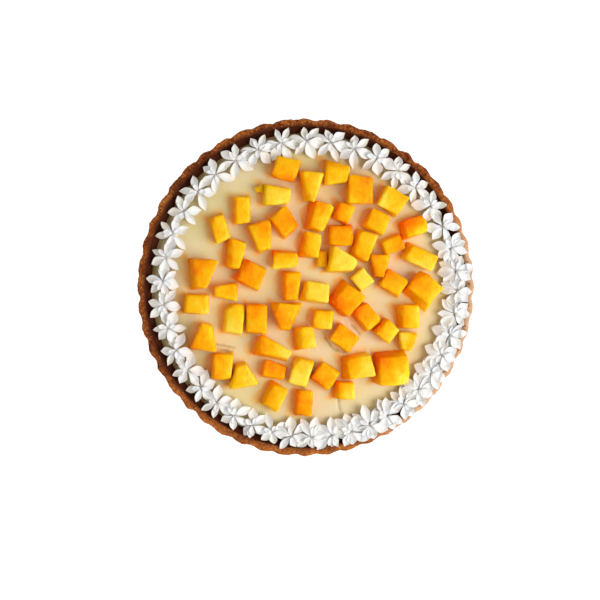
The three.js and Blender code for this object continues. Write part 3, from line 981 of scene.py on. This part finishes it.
print("dice with cuts of their own:", len(FACETS), "of", len(RIPENESS))

# %% Cut and round a die
CORNER_WELD = 0.01
DIE_VOXEL = 0.7
DIE_SMOOTHING = 4

def cut_facet(shape, direction, start, steepness):
    """Takes off all that lies beyond a slanting plane over one side of the die, and closes the cut."""
    corners = [v.co.copy() for v in shape.verts]
    low = Vector([min(c[axis] for c in corners) for axis in range(3)])
    high = Vector([max(c[axis] for c in corners) for axis in range(3)])
    side, tilt = math.radians(direction), math.radians(steepness)
    outward = Vector((math.cos(side), math.sin(side), 0))
    middle = (low + high) / 2
    furthest = max((c - middle).dot(outward) for c in corners)
    on_plane = middle + outward * furthest * start
    on_plane.z = high.z
    normal = outward * math.sin(tilt) + Vector((0, 0, math.cos(tilt)))
    geometry = shape.verts[:] + shape.edges[:] + shape.faces[:]
    bmesh.ops.bisect_plane(shape, geom=geometry, plane_co=on_plane, plane_no=normal, clear_outer=True)
    bmesh.ops.holes_fill(shape, edges=[edge for edge in shape.edges if edge.is_boundary])


def remeshed(mesh, voxel, smoothing):
    """The mesh after a voxel remesh and some smoothing, as new mesh data."""
    holder = bpy.data.objects.new("holder", mesh)
    bpy.context.collection.objects.link(holder)
    remesh = holder.modifiers.new("even faces", "REMESH")
    remesh.mode = "VOXEL"
    remesh.voxel_size = voxel
    soften = holder.modifiers.new("soften", "SMOOTH")
    soften.factor = 0.5
    soften.iterations = smoothing
    result = bpy.data.meshes.new_from_object(holder.evaluated_get(bpy.context.evaluated_depsgraph_get()))
    bpy.data.objects.remove(holder)
    return result


def cut_block(name, number):
    """A copy of the frame's block for this die, with its facets cut, as mesh data."""
    block = nodes[name].data.copy()
    shape = bmesh.new()
    shape.from_mesh(block)
    bmesh.ops.remove_doubles(shape, verts=shape.verts, dist=CORNER_WELD * MM)
    slip = random.Random(number)
    knife_slip = [(slip.uniform(0, 360), slip.uniform(0.62, 0.8), slip.uniform(40, 65))]
    for facet in FACETS.get(number, knife_slip):
        cut_facet(shape, *facet)
    shape.to_mesh(block)
    shape.free()
    return block


print("voxels of a die in mm:", DIE_VOXEL, "smoothed", DIE_SMOOTHING, "times")

# %% Ripen and place the dice
# The remesh and the smoothing take a little off each die: this is what it swells back by.
SWELL = 0.65
SLOW_DENTS, SLOW_DENT_SIZE = 0.42, 5.5
FINE_DENTS, FINE_DENT_SIZE = 0.14, 1.7
# Painted shade: how much deeper the sides and underside of each die are painted.
PAINTED_SIDE_SHADE = 0.17

def mango_die(number, ripeness, rise, direction):
    """One die, painted deeper in colour on its sides as painted shade, and deeper towards one direction, in
    degrees, partly as painted shade.
    """
    name = f"mango_{number:02d}"
    mesh = remeshed(cut_block(name, number), DIE_VOXEL * MM, DIE_SMOOTHING)
    mesh.name = name + "_flesh"
    corners = [vertex.co.copy() for vertex in mesh.vertices]
    normals = [vertex.normal.copy() for vertex in mesh.vertices]
    middle = sum(corners, Vector()) / len(corners)
    half = max((corner - middle).length for corner in corners)
    side = Vector((math.cos(math.radians(direction)), math.sin(math.radians(direction)), 0))
    tones = []
    for vertex, corner, normal in zip(mesh.vertices, corners, normals):
        across = (corner - middle).dot(side) / half
        # Ripeness, with painted shade across the die and on its sides.
        tones.append(ripeness + rise * across + PAINTED_SIDE_SHADE * (1 - max(normal.z, 0)))
        place = corner / MM
        dents = SLOW_DENTS * noise.noise(place / SLOW_DENT_SIZE)
        push = SWELL + dents + FINE_DENTS * noise.noise(place / FINE_DENT_SIZE)
        vertex.co = corner + normal * push * MM
        vertex.co.z = max(vertex.co.z, (CUSTARD_TOP + 0.1) * MM)
    keep_number(mesh, "ripeness", tones)
    piece = mesh_piece(name + "_flesh", mesh, mango_finish)
    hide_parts(name)
    return piece


mango = [mango_die(number, *tone) for number, tone in RIPENESS.items()]
print("mango dice:", len(mango), "faces in all:", sum(len(m.data.polygons) for m in mango))

# %% [markdown]
# ## A sliver and loose crumbs
# A thin sliver of mango came off one die and lies against it. Crumbs broke off the rim and lie on it
# and in the gap behind the flowers. Geometry nodes could scatter them, but a loop with its own seeded
# random numbers is shorter and gives the same crumbs every time. All the crumbs are one mesh: each is a
# small ball of a few faces, squashed and dented.

# %% The sliver
SLIVER_OUTLINE = [
    (-37.4, 70.2), (-33.2, 70.9), (-31.0, 73.2), (-29.0, 70.2), (-29.2, 65.8), (-32.4, 67.0), (-34.6, 66.9),
]
SLIVER_MIDDLE = Vector((-31.4, 69.2))
SLIVER_HEIGHT = 5.6
SLIVER_RIPENESS = 0.25
# From its foot to its top: how wide it is there, as a share of the outline, and how high.
SLIVER_SECTION = ((0.9, 0.0), (1.0, 0.8), (0.95, 0.75 * SLIVER_HEIGHT), (0.75, SLIVER_HEIGHT))

def build_sliver():
    floor = CUSTARD_TOP + SINK - 0.2
    rings = []
    for share, height in SLIVER_SECTION:
        outline = [SLIVER_MIDDLE + (Vector(point) - SLIVER_MIDDLE) * share for point in SLIVER_OUTLINE]
        rings.append([Vector((*point, floor + height)) * MM for point in outline])
    mesh = ringed_mesh("mango_sliver", rings)
    keep_number(mesh, "ripeness", [SLIVER_RIPENESS] * len(mesh.vertices))
    return mesh_piece("mango_sliver", mesh, mango_finish)


sliver = build_sliver()
print("sliver faces:", len(sliver.data.polygons))

# %% The crumbs
CRUMBS = 260
CRUMB_SEED = 7
CRUMB_RADII = (0.25, 0.75)
CRUMB_STRETCH = (0.7, 1.3)
CRUMB_DENT = 0.22
SHARE_ON_RIM = 0.75

def rough_ball(shape, centre, size, chance):
    """Adds an uneven ball to a bmesh."""
    made = bmesh.ops.create_icosphere(shape, subdivisions=1, radius=1)["verts"]
    stretch = Vector([chance.uniform(*CRUMB_STRETCH) for _ in range(3)])
    for vertex in made:
        dent = 1 + chance.uniform(-CRUMB_DENT, CRUMB_DENT)
        vertex.co = Vector([c * s for c, s in zip(vertex.co, stretch)]) * size * dent + centre


def build_crumbs():
    chance = random.Random(CRUMB_SEED)
    shape = bmesh.new()
    for _ in range(CRUMBS):
        angle = chance.uniform(0, math.tau)
        size = chance.uniform(*CRUMB_RADII)
        if chance.random() < SHARE_ON_RIM:
            radius = chance.uniform(RIM_INNER_RADIUS + 1.2, CREST_RADIUS - 2.6 - flute_dip(angle))
            height = WALL_HEIGHT + rim_wave(angle) + 0.3 * size
        else:
            radius = chance.uniform(CUSTARD_RADIUS - 3, CUSTARD_RADIUS - 0.8)
            height = CUSTARD_TOP + SINK + 0.5 * size
        place = Vector((radius * math.cos(angle), radius * math.sin(angle), height))
        rough_ball(shape, place, size, chance)
    for vertex in shape.verts:
        vertex.co *= MM
    mesh = bpy.data.meshes.new("biscuit_crumbs")
    shape.to_mesh(mesh)
    shape.free()
    return mesh_piece("biscuit_crumbs", mesh, biscuit)


crumbs = build_crumbs()
print("crumb faces:", len(crumbs.data.polygons))

# %% [markdown]
# ## Floor, light and camera
# The tart stands on a plain pale floor that glows, as a white table in bright light seems to, so that
# no shadow greys it. One large lamp comes from the right at half height, like a window, a weak one
# fills the shadows from the other side, and the surroundings are a dim warm white, so that no side goes
# black. A sun would be simpler than a window, but the shadow of a large, near lamp softens as it gets
# further from what throws it, as these do. The camera looks straight down from far away with a long
# lens, so that upright walls hardly show.

# %% Floor
FLOOR_GREYS = [(0.3, "#959595"), (0.7, "#989897")]
FLOOR_MOTTLE = 60
FLOOR_GLOW = 0.95
FLOOR_HALF = 3

def floor_material():
    material, tree, places = new_material("pale_floor")
    mottle = add_node(tree, "TexNoise", {"Scale": spaced(FLOOR_MOTTLE)}, {"Vector": places})
    colour = add_node(tree, "ValToRGB", links={"Fac": mottle.outputs["Fac"]}, stops=FLOOR_GREYS)
    surface = add_node(
        tree, "BsdfPrincipled",
        {"Roughness": 0.8, "Emission Color": linear("#ffffff"), "Emission Strength": FLOOR_GLOW},
        {"Base Color": colour.outputs["Color"]},
    )
    add_node(tree, "OutputMaterial", links={"Surface": surface.outputs["BSDF"]})
    return material


floor_mesh = bpy.data.meshes.new("floor")
floor_corners = [(x * FLOOR_HALF, y * FLOOR_HALF, 0) for x, y in ((-1, -1), (1, -1), (1, 1), (-1, 1))]
floor_mesh.from_pydata(floor_corners, [], [(0, 1, 2, 3)])
floor_mesh.materials.append(floor_material())
floor = bpy.data.objects.new("floor", floor_mesh)
bpy.context.collection.objects.link(floor)
print("floor in metres:", 2 * FLOOR_HALF, "by", 2 * FLOOR_HALF)

# %% Light
TART_MIDDLE = Vector((0, 0, 0.02))
SURROUNDINGS = "#fff8f0"
SURROUNDINGS_STRENGTH = 0.49

def area_light(name, place, size, power, colour):
    """A square soft light that faces the middle of the tart."""
    data = bpy.data.lights.new(name, "AREA")
    data.size = size
    data.energy = power
    data.color = linear(colour)[:3]
    light = bpy.data.objects.new(name, data)
    light.location = place
    light.rotation_euler = (TART_MIDDLE - Vector(place)).to_track_quat("-Z", "Y").to_euler()
    bpy.context.collection.objects.link(light)
    return light


def from_side(azimuth, elevation, distance):
    """A place round the tart: its direction and its height in degrees, and its distance in metres."""
    turn, rise = math.radians(azimuth), math.radians(elevation)
    away = distance * math.cos(rise)
    return (away * math.cos(turn), away * math.sin(turn), distance * math.sin(rise))


window = area_light("window", from_side(-18, 46, 1.5), size=0.95, power=20.2, colour="#ffffff")
fill = area_light("fill", from_side(165, 50, 1.6), size=1.6, power=3, colour="#fff4e8")

world = bpy.data.worlds.new("studio")
bpy.context.scene.world = world
world.use_nodes = True
background = world.node_tree.nodes["Background"]
background.inputs["Color"].default_value = linear(SURROUNDINGS)
background.inputs["Strength"].default_value = SURROUNDINGS_STRENGTH
bpy.context.scene.view_settings.view_transform = "Standard"
print("lamps:", window.name, "and", fill.name)

# %% Camera
PICTURE_SIDE = 600
PIXELS_ACROSS_TART = 340
TART_MIDDLE_PIXEL = (305.5, 287)
TART_WIDTH = 240
CAMERA_HEIGHT = 1.4
SENSOR_WIDTH = 36

seen_width = PICTURE_SIDE / PIXELS_ACROSS_TART * TART_WIDTH * MM
camera_data = bpy.data.cameras.new("camera")
camera_data.sensor_width = SENSOR_WIDTH
camera_data.lens = SENSOR_WIDTH * (CAMERA_HEIGHT - WALL_HEIGHT * MM) / seen_width
camera = bpy.data.objects.new("camera", camera_data)
metres_per_pixel = seen_width / PICTURE_SIDE
camera.location = (
    (PICTURE_SIDE / 2 - TART_MIDDLE_PIXEL[0]) * metres_per_pixel,
    (TART_MIDDLE_PIXEL[1] - PICTURE_SIDE / 2) * metres_per_pixel,
    CAMERA_HEIGHT,
)
bpy.context.collection.objects.link(camera)
bpy.context.scene.camera = camera
print("lens:", round(camera_data.lens, 1), "mm, seen width:", round(seen_width, 3), "m")

# %% The end
bpy.context.view_layer.update()
